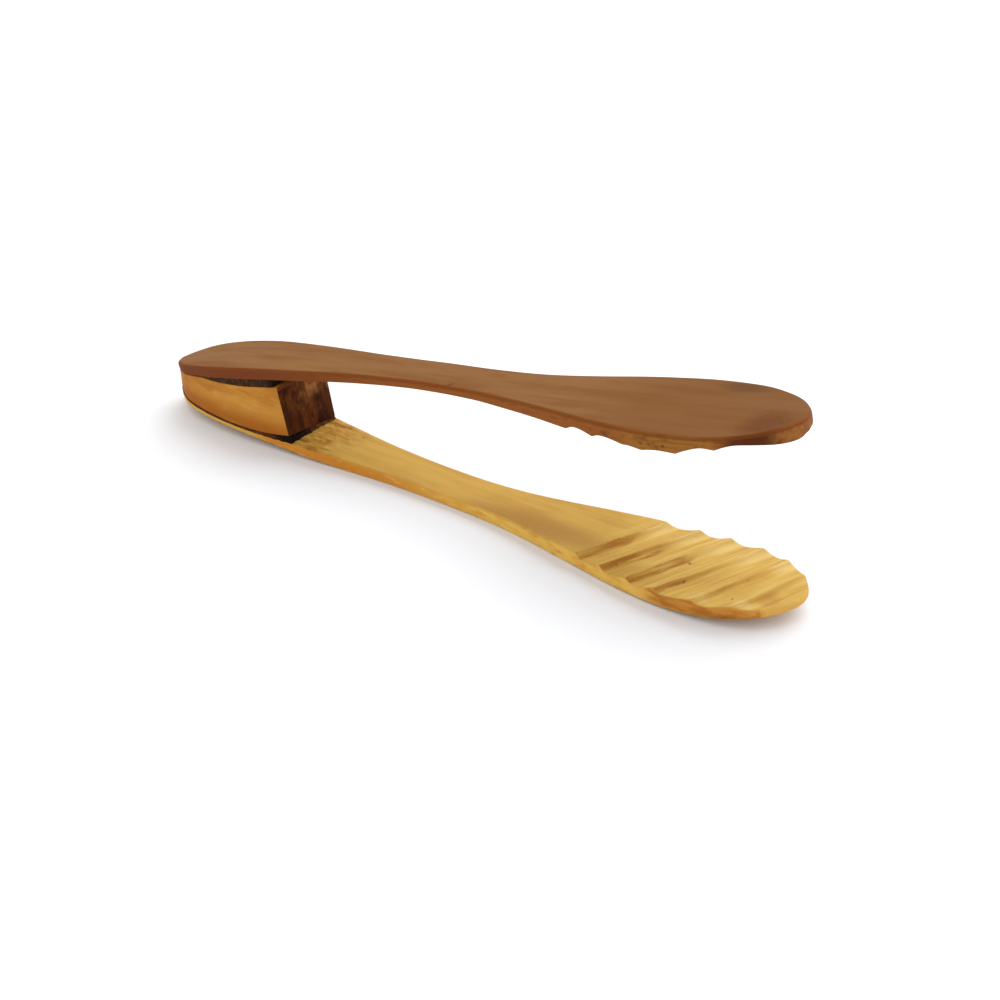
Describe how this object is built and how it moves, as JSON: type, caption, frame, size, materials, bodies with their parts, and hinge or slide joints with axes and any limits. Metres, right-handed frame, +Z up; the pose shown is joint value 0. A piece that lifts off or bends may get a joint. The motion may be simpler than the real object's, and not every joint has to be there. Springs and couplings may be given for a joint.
{
  "type": "kitchen tongs",
  "caption": "Wooden spring tongs: thin carved arms glued to a wedge block at the butt, with scalloped paddle tips for gripping food.",
  "frame": {"origin": "middle of the footprint, at the height of the surface that the lower arm rests on", "axes": "+X from the glued butt towards the gripping tips, +Y across the arms, +Z up"},
  "size_m": [0.3002, 0.0466, 0.0795],
  "materials": {
    "dark_wood": "hand-rubbed satin",
    "light_wood": "hand-rubbed satin",
    "block_wood": "hand-rubbed satin",
    "glue": "hardened dark filler, slightly glossy"
  },
  "bodies": {
    "butt": {"wedge_block": "block_wood", "upper_glue_layer": "glue", "lower_glue_layer": "glue", "upper_arm_root": "dark_wood", "lower_arm_root": "light_wood"},
    "upper_blade": {"upper_arm_blade": "dark_wood"},
    "lower_blade": {"lower_arm_blade": "light_wood"}
  },
  "joints": [
    {"name": "upper_arm_flex", "type": "hinge", "parent": "butt", "child": "upper_blade", "pos_m": [-0.02701, 0, 0.04667], "axis": [0, 1, 0], "range_deg": [0, 10.4], "stiffness_Nm_per_rad": 5.3},
    {"name": "lower_arm_flex", "type": "hinge", "parent": "butt", "child": "lower_blade", "pos_m": [-0.02494, 0, 0.00228], "axis": [0, -1, 0], "range_deg": [0, 10.4], "stiffness_Nm_per_rad": 13}
  ]
}
